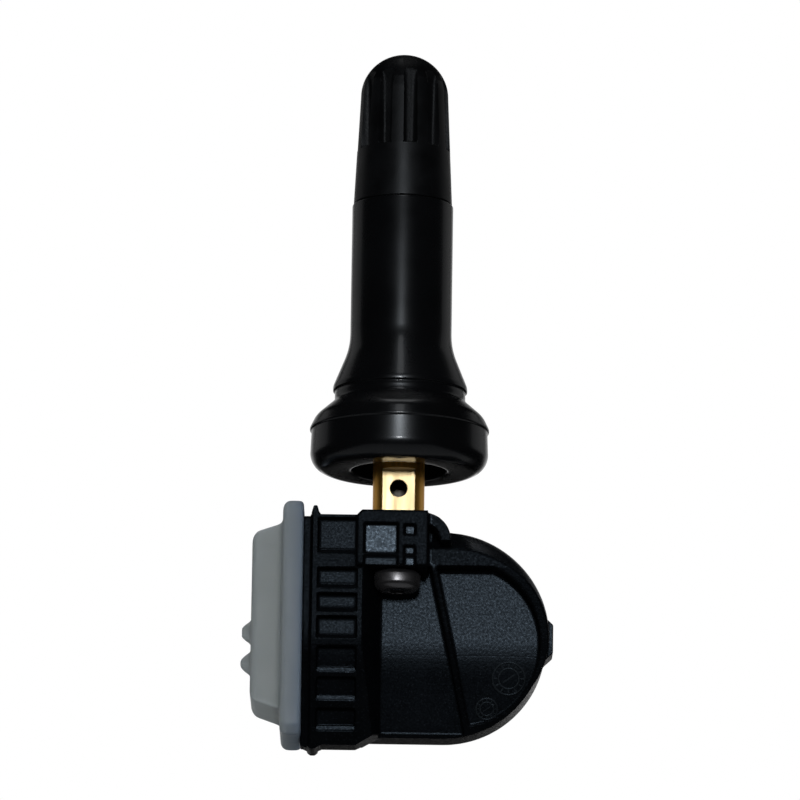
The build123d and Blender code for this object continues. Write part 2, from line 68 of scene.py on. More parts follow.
# Lid: its rim at the weld, its bluish tint along X, the stretch along X where faces that look down get
# painted light from below, and its two nubs
WELD_X = -10.5 * MM
WELD_RIM = 0.5 * MM
WELD_SHIFT = 0.10 * MM
BLUISH_X = (-12.6 * MM, -10.0 * MM)
PAINTED_UNDERLIGHT_X = (-13.0 * MM, -12.3 * MM)
NUB_X = -15.4 * MM
NUB_LENGTH = 1.1 * MM
NUB_Y = 5.0 * MM
NUB_Z = (-24.4 * MM, -27.75 * MM)
NUB_SPLIT_Z = -26.1 * MM
NUB_TAPER = 0.32

# Ladder: its sides, its pockets and the rungs below the lower ones, with shares of a rung's height
LADDER_X = (-8.5 * MM, -3.6 * MM)
LEDGE_X = (-8.4 * MM, -4.2 * MM)
POCKET_X = (-8.3 * MM, -4.27 * MM)
POCKET_FLOOR = 0.8 * MM
POCKET_DEPTH = 1.3 * MM
RUNG_X = (-8.35 * MM, -4.25 * MM)
RUNG_FEET = (-29.6 * MM, -32.45 * MM, -35.5 * MM)
RUNG_SET_BACK = 1.5 * MM
RUNG_H = 0.55 * MM
RUNG_LEAN = 0.04 * MM
RUNG_SLACK = 0.05 * MM
RUNG_SHARE = (0.05, 1.05)
RUNG_TOP = 0.8
RUNG_FADE = 0.2

# Outer rib and the teeth at its ends: start, root and length of a tooth, its width and its loss to the tip
RIB_X = (-9.2 * MM, -8.2 * MM)
RIB_MIDDLE = -8.71 * MM
UPPER_TOOTH = (-12.88 * MM, -12.95 * MM, 0.95 * MM, 1.35, 0.75)
LOWER_TOOTH = (-37.0 * MM, -36.95 * MM, 0.4 * MM, 2.2, 1.4)

# Valve block, the web of the hook beside it, and the panels
BLOCK_RIM = 0.25 * MM
BLOCK_BACK = 0.1 * MM
BLOCK_FOOT_Z = -17.4 * MM
BLOCK_SIDE_X = 0.3 * MM
WEB_X = (3.1 * MM, 3.9 * MM)
WEB_Y = 1.3 * MM
WEB_Z = -18.5 * MM
HOOK_X = 3.8 * MM
PANEL_Y = 2.3 * MM
PANEL_RUN = 0.25
BEND_BACK_Y = 4.2 * MM

# Flank round the battery end; in MM, its centre (X, Z) and radius at the front, and their change to the back
FLANK_Y = -0.3 * MM
FLANK_DEPTH = 2.9 * MM
FLANK_X = 5.0 * MM
FLANK_RAMP = 1.5 * MM
FLANK_BAND = 0.6 * MM
FLANK_FRONT = (6.3, -25.5, 9.4)
FLANK_CHANGE = (-1.3, 0.85, 1.5)

# Mould dials: their places, and shares of a dial's radius
DIAL_PLACE = (11.92 * MM, 3.27 * MM, -29.22 * MM)
SMALL_DIAL_PLACE = (9.65 * MM, 4.2 * MM, -32.35 * MM)
DIAL_RINGS = (0.98, 0.62)
DIAL_TICK_AT = 0.8
DIAL_TICK = 0.2
DIAL_LINE = 0.09
DIAL_POINTER = 0.8
DIAL_POINTER_TURN = radians(35)

# Metal: the milled flats of the tang, the painted shade tone inside the air passage and the tone of the
# spring's wire
FLAT_Y = (2.09 * MM, 2.125 * MM)
TANG_Z = (-7.9 * MM, -7.8 * MM)
PASSAGE_R = (1.85 * MM, 2.05 * MM)
PASSAGE_SHADE_TONE = (0.10, 0.095, 0.085, 1)
SPRING_TONE = (0.50, 0.50, 0.51, 1)

# Depth of the grain, and the tint of the sheen on black plastic and rubber
FINE_GRAIN = 0.02 * MM
COARSE_GRAIN = 0.04 * MM
BLUE_SHEEN = (0.60, 0.79, 1.0, 1.0)
COOL_SHEEN = (0.86, 0.93, 1.0, 1.0)

# Finishes of the housing, in the order of its slots
RIBS, GRAIN, POCKET, FLANK, LADDER = range(5)

# Finishes of the solids that stay: colour, roughness, metal, grain, bump, stretch of the grain, solids
EVEN = (1, 1, 1)
SOLID_FINISHES = {
    "core_brass": ((0.72, 0.52, 0.20, 1), 0.3, 1.0, 2000.0, 0.1, EVEN,
                   ("core_plug", "core_barrel", "core_pin")),
    "nickel_strip": ((0.62, 0.60, 0.56, 1), 0.28, 1.0, 1800.0, 0.08, (0.1, 1, 1),
                     ("cell_tab_plus", "cell_tab_minus", "crystal", "antenna_strip")),
    "soft_black_rubber": ((0.012, 0.012, 0.012, 1), 0.6, 0.0, 1600.0, 0.15, EVEN, ("cap_seal", "core_cup")),
    "black_epoxy": ((0.012, 0.012, 0.013, 1), 0.5, 0.0, 2600.0, 0.2, EVEN,
                    ("pressure_chip", "chip_resistors")),
    "sintered_ferrite": ((0.035, 0.035, 0.038, 1), 0.62, 0.0, 2200.0, 0.3, EVEN,
                         ("coil_core", "chip_inductors")),
    "white_core_seal": ((0.75, 0.75, 0.72, 1), 0.4, 0.0, 1500.0, 0.1, EVEN, ("core_seal",)),
    "green_solder_mask": ((0.02, 0.11, 0.045, 1), 0.35, 0.0, 900.0, 0.12, EVEN, ("circuit_board",)),
    "cell_can": ((0.58, 0.58, 0.58, 1), 0.22, 1.0, 1300.0, 0.06, EVEN, ("coin_cell",)),
    "grey_silicone": ((0.35, 0.36, 0.38, 1), 0.45, 0.0, 1100.0, 0.12, EVEN, ("port_gasket",)),
    "wound_copper": ((0.55, 0.24, 0.10, 1), 0.32, 1.0, 1500.0, 0.5, (0.15, 0.15, 6), ("coil_winding",)),
    "tan_ceramic": ((0.42, 0.28, 0.16, 1), 0.45, 0.0, 1900.0, 0.15, EVEN, ("chip_capacitors",)),
}

# Stage: distance of the lamps, directions of the mirrored backdrop and of the light from the ground
LAMP_DISTANCE = 0.8
BACKDROP_Y = (0.80, 0.97)
BACKDROP_Z = (-0.15, 0.05)
GROUND_Z = (-0.5, 0.0)


# Property helpers

def place(name, description, default, **limits):
    return FloatProperty(
        name=name, description=description, default=default, unit="LENGTH", precision=5, **limits
    )


def size(name, description, default):
    return place(name, description, default, min=0.0)


def turn(name, description, degrees):
    return FloatProperty(name=name, description=description, default=radians(degrees), subtype="ANGLE")


def amount(name, description, default):
    return FloatProperty(name=name, description=description, default=default, min=0.0)


def count(name, description, default):
    return IntProperty(name=name, description=description, default=default, min=1)


def colour(name, description, default):
    return FloatVectorProperty(
        name=name, description=description, default=(*default, 1.0), size=4, min=0.0, max=1.0, subtype="COLOR"
    )


class SENSOR_PG_cap(bpy.types.PropertyGroup):
    """Sizes of the valve cap"""
    skirt_r: size("Skirt radius", "Outer radius at the open end", 5.25 * MM)
    waist_r: size("Waist radius", "Outer radius where the flutes begin", 4.98 * MM)
    waist_z: place("Waist height", "Height where the flutes begin", 27.0 * MM)
    dome_r: size("Dome radius", "Radius of the domed end", 4.70 * MM)
    bore_r: size("Bore radius", "Radius of the threaded bore", 3.95 * MM)
    edge: size("Edge round", "Round of the open rim", 0.16 * MM)
    flutes: count("Flutes", "Number of flutes round the cap", 11)
    flute_w: size("Flute width", "Width of one flute", 1.42 * MM)
    flute_floor: size("Flute floor", "Distance of a flute's floor from the axis", 4.10 * MM)
    flute_end: size("Flute end", "Length of the rounded lower end of a flute", 0.30 * MM)
    flute_turn: turn("Flute turn", "Turn of the first flute from the front", 8.2)


class SENSOR_PG_rubber(bpy.types.PropertyGroup):
    """Sizes of the rubber valve body"""
    bore_r: size("Bore radius", "Radius of the bond to the brass stem", 3.87 * MM)
    body_r: size("Body radius", "Radius of the long body", 5.38 * MM)
    top_edge: size("Top edge", "Round of the edge under the cap", 0.22 * MM)
    flare_z: place("Flare height", "Height where the body starts to widen", 5.6 * MM)
    flare_round: size("Flare round", "Reach of the bend into the flare", 1.5 * MM)
    ring_r: size("Ring radius", "Radius of the snap ring's lip", 7.12 * MM)
    lip_z: place("Lip height", "Height of the snap ring's upper edge", 1.30 * MM)
    lip_round: size("Lip round", "Reach of the bend from the flare to the lip", 0.60 * MM)
    lip_foot: place("Lip foot", "Height of the snap ring's lower edge", 0.84 * MM)
    groove_r: size("Groove radius", "Radius of the groove for the rim hole", 6.92 * MM)
    groove_z: place("Groove foot", "Height of the groove's lower end", -0.30 * MM)
    shoulder_r: size("Shoulder radius", "Radius where the shoulder turns down", 8.93 * MM)
    shoulder_z: place("Shoulder height", "Height where the shoulder turns down", -2.05 * MM)
    shoulder_round: size("Shoulder round", "Reach of the shoulder's bend", 0.85 * MM)
    bead_r: size("Bead radius", "Radius of the parting bead", 9.495 * MM)
    bead_z: place("Bead height", "Height of the parting bead", -3.36 * MM)
    bead_h: size("Bead width", "Width of the parting bead", 0.20 * MM)
    side_r: size("Side radius", "Radius of the flange below the bead", 9.41 * MM)
    foot_round: size("Foot round", "Round at the foot of the flange", 1.92 * MM)
    recess_r: size("Recess radius", "Radius of the recess in the underside", 5.0 * MM)
    recess_z: place("Recess floor", "Height of the recess floor", -5.6 * MM)


class SENSOR_PG_metal(bpy.types.PropertyGroup):
    """Sizes of the screw head, of the thread for the cap and of the core spring"""
    shank_r: size("Shank radius", "Radius of the screw's shank", 1.70 * MM)
    head_r: size("Head radius", "Radius of the screw head", 2.42 * MM)
    head_h: size("Head height", "Height of the screw head", 2.20 * MM)
    head_round: size("Head round", "Round at the end of the screw head", 0.9 * MM)
    head_edge: size("Head edge", "Round at the seat of the screw head", 0.55 * MM)
    drive_r: size("Drive radius", "Outer radius of the six-lobe recess", 1.15 * MM)
    drive_root: size("Drive root", "Inner radius of the six-lobe recess", 0.85 * MM)
    drive_depth: size("Drive depth", "Depth of the six-lobe recess", 0.9 * MM)
    pitch: size("Thread pitch", "Rise of the cap thread in one turn", 0.794 * MM)
    thread_h: size("Thread height", "Height of the thread over the stem", 0.075 * MM)
    wire_r: size("Spring wire", "Radius of the core spring's wire", 0.14 * MM)
    spring_turns: amount("Spring turns", "Number of turns of the core spring", 4.0)
    pin_travel: size("Pin travel", "How far the core's pin can be pressed", 1.0 * MM)


class SENSOR_PG_box(bpy.types.PropertyGroup):
    """Sizes on the sensor box and its lid"""
    edge: size("Box edge", "Cell size that rounds the edges of the box", 0.13 * MM)
    edge_passes: count("Box smoothing", "Number of times the box is smoothed", 2)
    lid_edge: size("Lid edge", "Cell size that rounds the edges of the lid", 0.20 * MM)
    lid_passes: count("Lid smoothing", "Number of times the lid is smoothed", 16)
    rail_y: place("Rail front", "Front of the ladder's rails", -2.6 * MM)
    block_y: place("Block front", "Front of the valve block", -3.6 * MM)
    bend_z: place("Bend height", "Height where the front bends back", -27.0 * MM)
    bend_reach: size("Bend reach", "Half the height of the rounded bend", 2.3 * MM)
    ladder_slope: amount("Ladder slope", "Slope of the ladder below the bend", 0.36)
    panel_slope: amount("Panel slope", "Slope of the panels below the bend", 0.30)
    flank_bulge: size("Flank bulge", "Crown of the flank round the battery end", 0.28 * MM)
    dial_r: size("Dial radius", "Outer radius of the larger mould dial", 1.75 * MM)
    small_dial_r: size("Small dial radius", "Outer radius of the smaller mould dial", 1.15 * MM)
    dial_h: size("Dial height", "Height of the dial's marks over the panel", 0.10 * MM)
    dial_ticks: count("Dial ticks", "Number of marks on a dial", 12)


class SENSOR_PG_finish(bpy.types.PropertyGroup):
    """Colours of the finishes"""
    housing: colour("Housing", "Black plastic of the ribs", (0.0016, 0.0019, 0.0024))
    grain: colour("Panels", "Spark-eroded black plastic of the panels", (0.0020, 0.0025, 0.0033))
    rubber: colour("Rubber", "Glossy black rubber", (0.0020, 0.0022, 0.0026))
    cap: colour("Cap", "Satin black plastic", (0.0024, 0.0026, 0.0030))
    # The dial marks' lighter tone is painted sheen for the light their raised marks catch.
    dial: colour("Dial", "Polished marks of the mould dials", (0.008, 0.010, 0.012))
    brass: colour("Brass", "Turned brass", (0.97, 0.52, 0.095))
    milled: colour("Milled brass", "Bright flats of the tang", (0.62, 0.49, 0.28))
    lid: colour("Lid", "Frosted grey plastic", (0.200, 0.222, 0.226))
    lid_edge: colour("Lid at the weld", "Bluish plastic along the weld", (0.094, 0.122, 0.158))
    screw: colour("Screw", "Black coated steel", (0.080, 0.080, 0.085))


class SENSOR_PG_stage(bpy.types.PropertyGroup):
    """Camera, light and floor"""
    distance: size("Camera distance", "From the camera to the valve groove", 0.70)
    elevation: turn("Camera elevation", "Angle of the camera above the horizon", -12.5)
    roll: turn("Camera roll", "Turn of the camera about its view", 0.85)
    lens: amount("Lens", "Focal length in millimetres on a 36 mm sensor", 297.0)
    floor_z: place("Floor height", "Height of the floor", -0.95)
    key_power: amount("Key power", "Power of the front light in watts", 3.4)
    top_power: amount("Top power", "Power of the light overhead in watts", 0.8)
    strip_power: amount("Strip power", "Power of the narrow light above the front in watts", 0.75)
    side_power: amount("Side power", "Power of each soft side light in watts", 0.26)
    fill: amount("Fill", "Strength of the light from all round", 0.25)
    low_fill: amount("Low fill", "Strength of the light thrown back from the ground", 0.62)


# Number and mesh helpers

def between(value, limits):
    return limits[0] < value < limits[1]


def unit(value):
    """The value, kept from 0 to 1."""
    return min(max(value, 0), 1)


def mesh_object(name, mesh):
    piece = bpy.data.objects.new(name, mesh)
    bpy.context.scene.collection.objects.link(piece)
    return piece


def smooth(mesh, angle=35):
    for face in mesh.polygons:
        face.use_smooth = True
    mesh.set_sharp_from_angle(angle=radians(angle))


def arc(r, z, radius, start, end, steps):
    angles = [radians(start + (end - start) * i / steps) for i in range(steps + 1)]
    return [(r + radius * cos(a), z + radius * sin(a)) for a in angles]


def softened(corners, steps=5):
    """An open outline from corners (radius, height, reach of the round at that corner)."""
    out = [corners[0][:2]]
    for before, corner, after in zip(corners, corners[1:], corners[2:]):
        middle = Vector(corner[:2])
        back = Vector(before[:2]) - middle
        ahead = Vector(after[:2]) - middle
        longest = 0.48 * min(back.length, ahead.length)
        reach = min(corner[2], longest)
        first = middle + back.normalized() * reach
        last = middle + ahead.normalized() * reach
        for i in range(steps + 1):
            t = i / steps
            spot = first * (1 - t) ** 2 + middle * 2 * t * (1 - t) + last * t * t
            out.append((spot.x, spot.y))
    out.append(corners[-1][:2])
    return out


def turned(name, rows, steps):
    """A closed skin of rings; a row is (radius, height), and its radius may be a function of the angle."""
    bm = bmesh.new()
    rings = []
    for radius, z in rows:
        if radius == 0:
            rings.append([bm.verts.new((0, 0, z))])
            continue
        ring = []
        for i in range(steps):
            a = 2 * pi * i / steps
            r = radius(a) if callable(radius) else radius
            ring.append(bm.verts.new((r * cos(a), r * sin(a), z)))
        rings.append(ring)
    if len(rings[0]) > 1:
        rings.append(rings[0])
    for low, high in zip(rings, rings[1:]):
        for i in range(steps):
            j = (i + 1) % steps
            corners = [low[i % len(low)], low[j % len(low)], high[j % len(high)], high[i % len(high)]]
            bm.faces.new(list(dict.fromkeys(corners)))
    bmesh.ops.recalc_face_normals(bm, faces=bm.faces)
    mesh = bpy.data.meshes.new(name)
    bm.to_mesh(mesh)
    bm.free()
    smooth(mesh)
    return mesh_object(name, mesh)


def settled(piece, name):
    """The piece with its modifiers worked into a plain mesh."""
    graph = bpy.context.evaluated_depsgraph_get()
    mesh = bpy.data.meshes.new_from_object(piece.evaluated_get(graph), depsgraph=graph)
    mesh.name = name
    worn = piece.data
    bpy.data.objects.remove(piece)
    if worn.users == 0:
        bpy.data.meshes.remove(worn)
    return mesh_object(name, mesh)


def rounded_copy(solid, name, cell, passes, reshape, flats=True):
    """A copy of a solid whose edges are rounded by about the size of a cell."""
    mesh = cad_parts[solid].data.copy()
    mesh.materials.clear()
    bm = bmesh.new()
    bm.from_mesh(mesh)
    bmesh.ops.remove_doubles(bm, verts=bm.verts, dist=1e-7)
    bmesh.ops.scale(bm, vec=(1 / MM,) * 3, verts=bm.verts)
    bm.to_mesh(mesh)
    bm.free()
    for layer in [a.name for a in mesh.attributes if a.name in ("custom_normal", "sharp_edge", "sharp_face")]:
        mesh.attributes.remove(mesh.attributes[layer])
    piece = mesh_object(name + "_raw", mesh)
    cells = piece.modifiers.new("Cells", "REMESH")
    cells.mode = "VOXEL"
    cells.voxel_size = cell / MM
    cells.use_smooth_shade = True
    rounding = piece.modifiers.new("Rounding", "SMOOTH")
    rounding.factor = 0.5
    rounding.iterations = passes
    piece = settled(piece, name + "_cells")
    for point in piece.data.vertices:
        point.co = reshape(point.co * MM) / MM
    if flats:
        merged = piece.modifiers.new("Flats", "DECIMATE")
        merged.decimate_type = "DISSOLVE"
        merged.angle_limit = radians(0.22)
        facing = piece.modifiers.new("Facing", "WEIGHTED_NORMAL")
        facing.weight = 80
    done = settled(piece, name)
    done.data.transform(Matrix.Scale(MM, 4))
    return done


# Node trees that repeat a shape

def new_tree(name, inputs, takes_mesh):
    tree = bpy.data.node_groups.new(name, "GeometryNodeTree")
    if takes_mesh:
        tree.interface.new_socket("Geometry", in_out="INPUT", socket_type="NodeSocketGeometry")
    for label, kind in inputs:
        tree.interface.new_socket(label, in_out="INPUT", socket_type="NodeSocket" + kind)
    tree.interface.new_socket("Geometry", in_out="OUTPUT", socket_type="NodeSocketGeometry")
    return tree, tree.nodes.new("NodeGroupInput").outputs


def feed(made, values):
    """Gives the inputs of a node their links and plain values."""
    for key, value in values.items():
        if isinstance(value, bpy.types.NodeSocket):
            made.id_data.links.new(value, made.inputs[key])
        else:
            made.inputs[key].default_value = value


def node(tree, kind, values=None, **settings):
    made = tree.nodes.new(kind)
    for key, value in settings.items():
        setattr(made, key, value)
    feed(made, values or {})
    return made


def maths(tree, operation, a, b=0.0):
    return node(tree, "ShaderNodeMath", {0: a, 1: b}, operation=operation).outputs[0]


def times(tree, a, b):
    return maths(tree, "MULTIPLY", a, b)


def from_axis(tree, x, y):
    """The distance from the valve axis."""
    squares = maths(tree, "ADD", times(tree, x, x), times(tree, y, y))
    return maths(tree, "SQRT", squares)


def end_tree(tree, geometry):
    real = node(tree, "GeometryNodeRealizeInstances", {"Geometry": geometry})
    finish = node(tree, "GeometryNodeSetMaterial", {
        "Geometry": real.outputs[0], "Material": tree.nodes["Group Input"].outputs["Finish"],
    })
    node(tree, "NodeGroupOutput", {0: finish.outputs[0]})


def grown(piece, tree, values, name):
    """The piece after the tree has worked on it, as a plain mesh."""
    grow = piece.modifiers.new(tree.name, "NODES")
    grow.node_group = tree
    for item in tree.interface.items_tree:
        if item.item_type == "SOCKET" and item.in_out == "INPUT" and item.name in values:
            grow[item.identifier] = values[item.name]
    return settled(piece, name)


def blank(name):
    return mesh_object(name, bpy.data.meshes.new(name))


def flute_tree():
    """Presses upright flutes into a turned skin."""
    tree, given = new_tree("Cap flutes", [
        ("Flutes", "Int"), ("Turn", "Float"), ("Half width", "Float"), ("End", "Float"),
        ("Floor", "Float"), ("Bottom", "Float"), ("Finish", "Material"),
    ], True)
    spot = node(tree, "GeometryNodeInputPosition").outputs[0]
    parts = node(tree, "ShaderNodeSeparateXYZ", {0: spot}).outputs
    radius = from_axis(tree, parts[0], parts[1])
    angle = maths(tree, "SUBTRACT", maths(tree, "ARCTAN2", parts[1], parts[0]), given["Turn"])
    pitch = maths(tree, "DIVIDE", 2 * pi, given["Flutes"])
    nearest = times(tree, maths(tree, "ROUND", maths(tree, "DIVIDE", angle, pitch)), pitch)
    off = maths(tree, "SUBTRACT", angle, nearest)
    side = maths(tree, "ABSOLUTE", times(tree, radius, maths(tree, "SINE", off)))
    share = maths(tree, "DIVIDE", side, given["Half width"])
    squareness = 5.0
    hollow = maths(tree, "SUBTRACT", 1.0, maths(tree, "POWER", share, squareness))
    across = maths(tree, "SQRT", maths(tree, "MAXIMUM", hollow, 0.0))
    top = maths(tree, "ADD", given["Bottom"], given["End"])
    along = node(tree, "ShaderNodeMapRange", {
        "Value": parts[2], "From Min": given["Bottom"], "From Max": top,
    }, interpolation_type="SMOOTHSTEP").outputs[0]
    floor = maths(tree, "DIVIDE", given["Floor"], maths(tree, "COSINE", off))
    spare = maths(tree, "MAXIMUM", maths(tree, "SUBTRACT", radius, floor), 0.0)
    press = times(tree, times(tree, spare, across), along)
    scale = maths(tree, "DIVIDE", maths(tree, "SUBTRACT", radius, press),
                  maths(tree, "MAXIMUM", radius, 1e-6))
    moved = node(tree, "ShaderNodeCombineXYZ", {
        0: times(tree, parts[0], scale), 1: times(tree, parts[1], scale), 2: parts[2],
    }).outputs[0]
    marked = node(tree, "GeometryNodeStoreNamedAttribute", {
        "Geometry": given["Geometry"], "Name": "flute", "Value": times(tree, across, along),
    }, data_type="FLOAT", domain="POINT")
    pressed = node(tree, "GeometryNodeSetPosition", {"Geometry": marked.outputs[0], "Position": moved})
    end_tree(tree, pressed.outputs[0])
    return tree


def winding_tree():
    """A round ridge or wire that winds about the valve axis."""
    tree, given = new_tree("Winding", [
        ("Turns", "Float"), ("Radius", "Float"), ("Height", "Float"), ("Bottom", "Float"),
        ("Ridge", "Float"), ("Finish", "Material"),
    ], False)
    path = node(tree, "GeometryNodeCurveSpiral", {
        "Resolution": 48, "Rotations": given["Turns"], "Start Radius": given["Radius"],
        "End Radius": given["Radius"], "Height": given["Height"],
    })
    section = node(tree, "GeometryNodeCurvePrimitiveCircle", {
        "Resolution": 6, "Radius": given["Ridge"],
    })
    ridge = node(tree, "GeometryNodeCurveToMesh", {
        "Curve": path.outputs[0], "Profile Curve": section.outputs["Curve"], "Fill Caps": True,
    })
    lift = node(tree, "ShaderNodeCombineXYZ", {2: given["Bottom"]})
    moved = node(tree, "GeometryNodeTransform", {
        "Geometry": ridge.outputs[0], "Translation": lift.outputs[0],
    })
    end_tree(tree, moved.outputs[0])
    return tree


def dial_tree():
    """A ring of raised ticks with an outer and an inner circle, set on a sloped panel."""
    tree, given = new_tree("Mould dial", [
        ("Ticks", "Int"), ("Radius", "Float"), ("Height", "Float"), ("Place", "Vector"),
        ("Slope", "Float"), ("Finish", "Material"),
    ], False)
    radius = given["Radius"]
    height = given["Height"]
    wide = times(tree, radius, DIAL_LINE)
    thick = times(tree, height, 2.0)

    def bar(share):
        edges = {0: times(tree, radius, share), 1: wide, 2: thick}
        extent = node(tree, "ShaderNodeCombineXYZ", edges).outputs[0]
        return node(tree, "GeometryNodeMeshCube", {"Size": extent}).outputs[0]

    rings = []
    for share in DIAL_RINGS:
        line = node(tree, "GeometryNodeCurvePrimitiveCircle", {
            "Resolution": 64, "Radius": times(tree, radius, share),
        })
        section = node(tree, "GeometryNodeCurvePrimitiveCircle", {"Resolution": 8, "Radius": height})
        rings.append(node(tree, "GeometryNodeCurveToMesh", {
            "Curve": line.outputs["Curve"], "Profile Curve": section.outputs["Curve"],
        }).outputs[0])
    spots = node(tree, "GeometryNodeMeshCircle", {
        "Vertices": given["Ticks"], "Radius": times(tree, radius, DIAL_TICK_AT),
    })
    centre = node(tree, "GeometryNodeInputPosition").outputs[0]
    spot = node(tree, "ShaderNodeSeparateXYZ", {0: centre}).outputs
    facing = node(tree, "ShaderNodeCombineXYZ", {2: maths(tree, "ARCTAN2", spot[1], spot[0])})
    ticks = node(tree, "GeometryNodeInstanceOnPoints", {
        "Points": spots.outputs[0], "Instance": bar(DIAL_TICK), "Rotation": facing.outputs[0],
    })
    leaning = node(tree, "GeometryNodeTransform", {
        "Geometry": bar(DIAL_POINTER), "Rotation": (0, 0, DIAL_POINTER_TURN),
    })
    joined = tree.nodes.new("GeometryNodeJoinGeometry")
    for geometry in rings + [ticks.outputs[0], leaning.outputs[0]]:
        tree.links.new(geometry, joined.inputs[0])
    lean = node(tree, "ShaderNodeCombineXYZ", {0: given["Slope"]})
    moved = node(tree, "GeometryNodeTransform", {
        "Geometry": joined.outputs[0], "Translation": given["Place"], "Rotation": lean.outputs[0],
    })
    end_tree(tree, moved.outputs[0])
    return tree


# Finishes

def shader(name, base, rough, metal=0.0, specular=0.5):
    finish = bpy.data.materials.new(name)
    finish.use_nodes = True
    finish.diffuse_color = base
    tree = finish.node_tree
    skin = tree.nodes["Principled BSDF"]
    feed(skin, {"Base Color": base, "Roughness": rough, "Metallic": metal, "Specular IOR Level": specular})
    return finish, tree, skin


def finish_colour(name):
    return tuple(getattr(bpy.context.scene.sensor_finish, name))


def own_place(tree):
    """Places in the piece's own coordinates."""
    return node(tree, "ShaderNodeTexCoord").outputs["Object"]


def pattern(tree, scale, detail=2.0, stretch=EVEN):
    """Noise on the piece's own coordinates."""
    mapped = node(tree, "ShaderNodeMapping", {"Vector": own_place(tree), "Scale": stretch}).outputs[0]
    return node(tree, "ShaderNodeTexNoise", {"Vector": mapped, "Scale": scale, "Detail": detail}).outputs[0]


def spread(tree, value, low, high, start=0.3, end=0.7):
    return node(tree, "ShaderNodeMapRange", {
        "Value": value, "From Min": start, "From Max": end, "To Min": low, "To Max": high,
    }).outputs[0]


def two_tone(tree, value, dark, light):
    ramp = node(tree, "ShaderNodeValToRGB", {0: value})
    for end, position, tone in zip(ramp.color_ramp.elements, (0.35, 0.65), (dark, light)):
        end.position = position
        end.color = tone
    return ramp.outputs[0]


def blend(tree, share, first, second):
    """A colour between two others."""
    return node(tree, "ShaderNodeMix", {0: share, 6: first, 7: second}, data_type="RGBA").outputs[2]


def raised(tree, skin, value, strength, depth, rounding=0.0):
    bump = node(tree, "ShaderNodeBump", {"Height": value, "Strength": strength, "Distance": depth})
    if rounding:
        edge = node(tree, "ShaderNodeBevel", {"Radius": rounding}, samples=4)
        feed(bump, {"Normal": edge.outputs[0]})
    feed(skin, {"Normal": bump.outputs[0]})


def toned(base, share):
    return (base[0] * share, base[1] * share, base[2] * share, 1.0)


def plain_finish(name, base, rough, metal, grain, bump, stretch=EVEN):
    """A finish with a slight change of tone and gloss and a fine grain."""
    finish, tree, skin = shader(name, base, rough, metal)
    cloud = pattern(tree, grain * 0.12, 3.0)
    fine = pattern(tree, grain, 2.0, stretch)
    feed(skin, {
        "Base Color": two_tone(tree, cloud, toned(base, 0.82), base),
        "Roughness": spread(tree, fine, rough * 0.85, min(rough * 1.2, 1.0)),
    })
    raised(tree, skin, fine, bump, FINE_GRAIN)
    return finish


def eroded_plastic(name, base, specular):
    """Black plastic with the grain of a spark-eroded mould; part of its sparkle is painted glints, sparse
    lighter specks in the colour.
    """
    finish, tree, skin = shader(name, base, 0.34, 0.0, specular)
    grain = pattern(tree, 4200.0, 2.5)
    cloud = pattern(tree, 260.0, 3.0)
    body = two_tone(tree, cloud, toned(base, 0.6), base)
    # painted glints: sparse specks three times lighter in the colour stand in for the sparkle of the grain
    painted_glint = spread(tree, pattern(tree, 5600.0, 1.0), 0.0, 1.0, 0.62, 0.74)
    feed(skin, {
        "Base Color": blend(tree, painted_glint, body, toned(base, 3.0)),
        "Roughness": spread(tree, grain, 0.25, 0.44),
        "Specular Tint": BLUE_SHEEN,
    })
    raised(tree, skin, grain, 0.55, COARSE_GRAIN)
    return finish


def cap_plastic(name, base, specular):
    """Satin black plastic, with a coarser grain down in the flutes."""
    finish, tree, skin = shader(name, base, 0.44, 0.0, specular)
    depth = node(tree, "ShaderNodeAttribute", attribute_name="flute").outputs["Fac"]
    cloud = pattern(tree, 420.0, 3.0)
    fine = pattern(tree, 4200.0, 2.0)
    duller = spread(tree, depth, 0.0, 0.12, 0.2, 0.9)
    feed(skin, {
        "Base Color": two_tone(tree, cloud, toned(base, 0.6), base),
        "Roughness": maths(tree, "ADD", spread(tree, cloud, 0.33, 0.43), duller),
        "Specular Tint": COOL_SHEEN,
    })
    raised(tree, skin, fine, spread(tree, depth, 0.12, 1.0, 0.1, 0.9), COARSE_GRAIN)
    return finish


def glossy_rubber(name, base, coat):
    """Black rubber with smudged gloss."""
    finish, tree, skin = shader(name, base, 0.26, 0.0, 0.20)
    smudge = pattern(tree, 140.0, 4.0)
    feed(skin, {
        "Base Color": two_tone(tree, smudge, toned(base, 0.75), base),
        "Roughness": spread(tree, smudge, 0.22, 0.31),
        "Specular Tint": COOL_SHEEN,
        "Coat Weight": coat,
        "Coat Roughness": 0.05,
    })
    raised(tree, skin, pattern(tree, 2600.0, 2.0), 0.04, FINE_GRAIN)
    return finish


def frosted_plastic(name, base, edge):
    """Frosted grey plastic, bluish towards the weld, with painted light from below that makes its downward
    faces paler.
    """
    finish, tree, skin = shader(name, base, 0.5, 0.0, 0.12)
    along = node(tree, "ShaderNodeSeparateXYZ", {0: own_place(tree)}).outputs[0]
    under = node(tree, "ShaderNodeAttribute", attribute_name="under").outputs["Fac"]
    # Painted light from below: faces that look down are painted paler, except near the weld.
    pale = times(tree, under, spread(tree, along, 1.0, 0.0, *PAINTED_UNDERLIGHT_X))
    face = blend(tree, pale, base, toned(base, 1.5))
    bluish = spread(tree, along, 0.0, 1.0, *BLUISH_X)
    feed(skin, {
        "Base Color": blend(tree, bluish, face, edge),
        "Roughness": spread(tree, pattern(tree, 320.0, 3.0), 0.42, 0.58),
        "Subsurface Weight": 0.85,
        "Subsurface Radius": (0.6, 0.6, 0.7),
        "Subsurface Scale": 3.0 * MM,
    })
    raised(tree, skin, pattern(tree, 3600.0, 2.0), 0.15, FINE_GRAIN)
    return finish


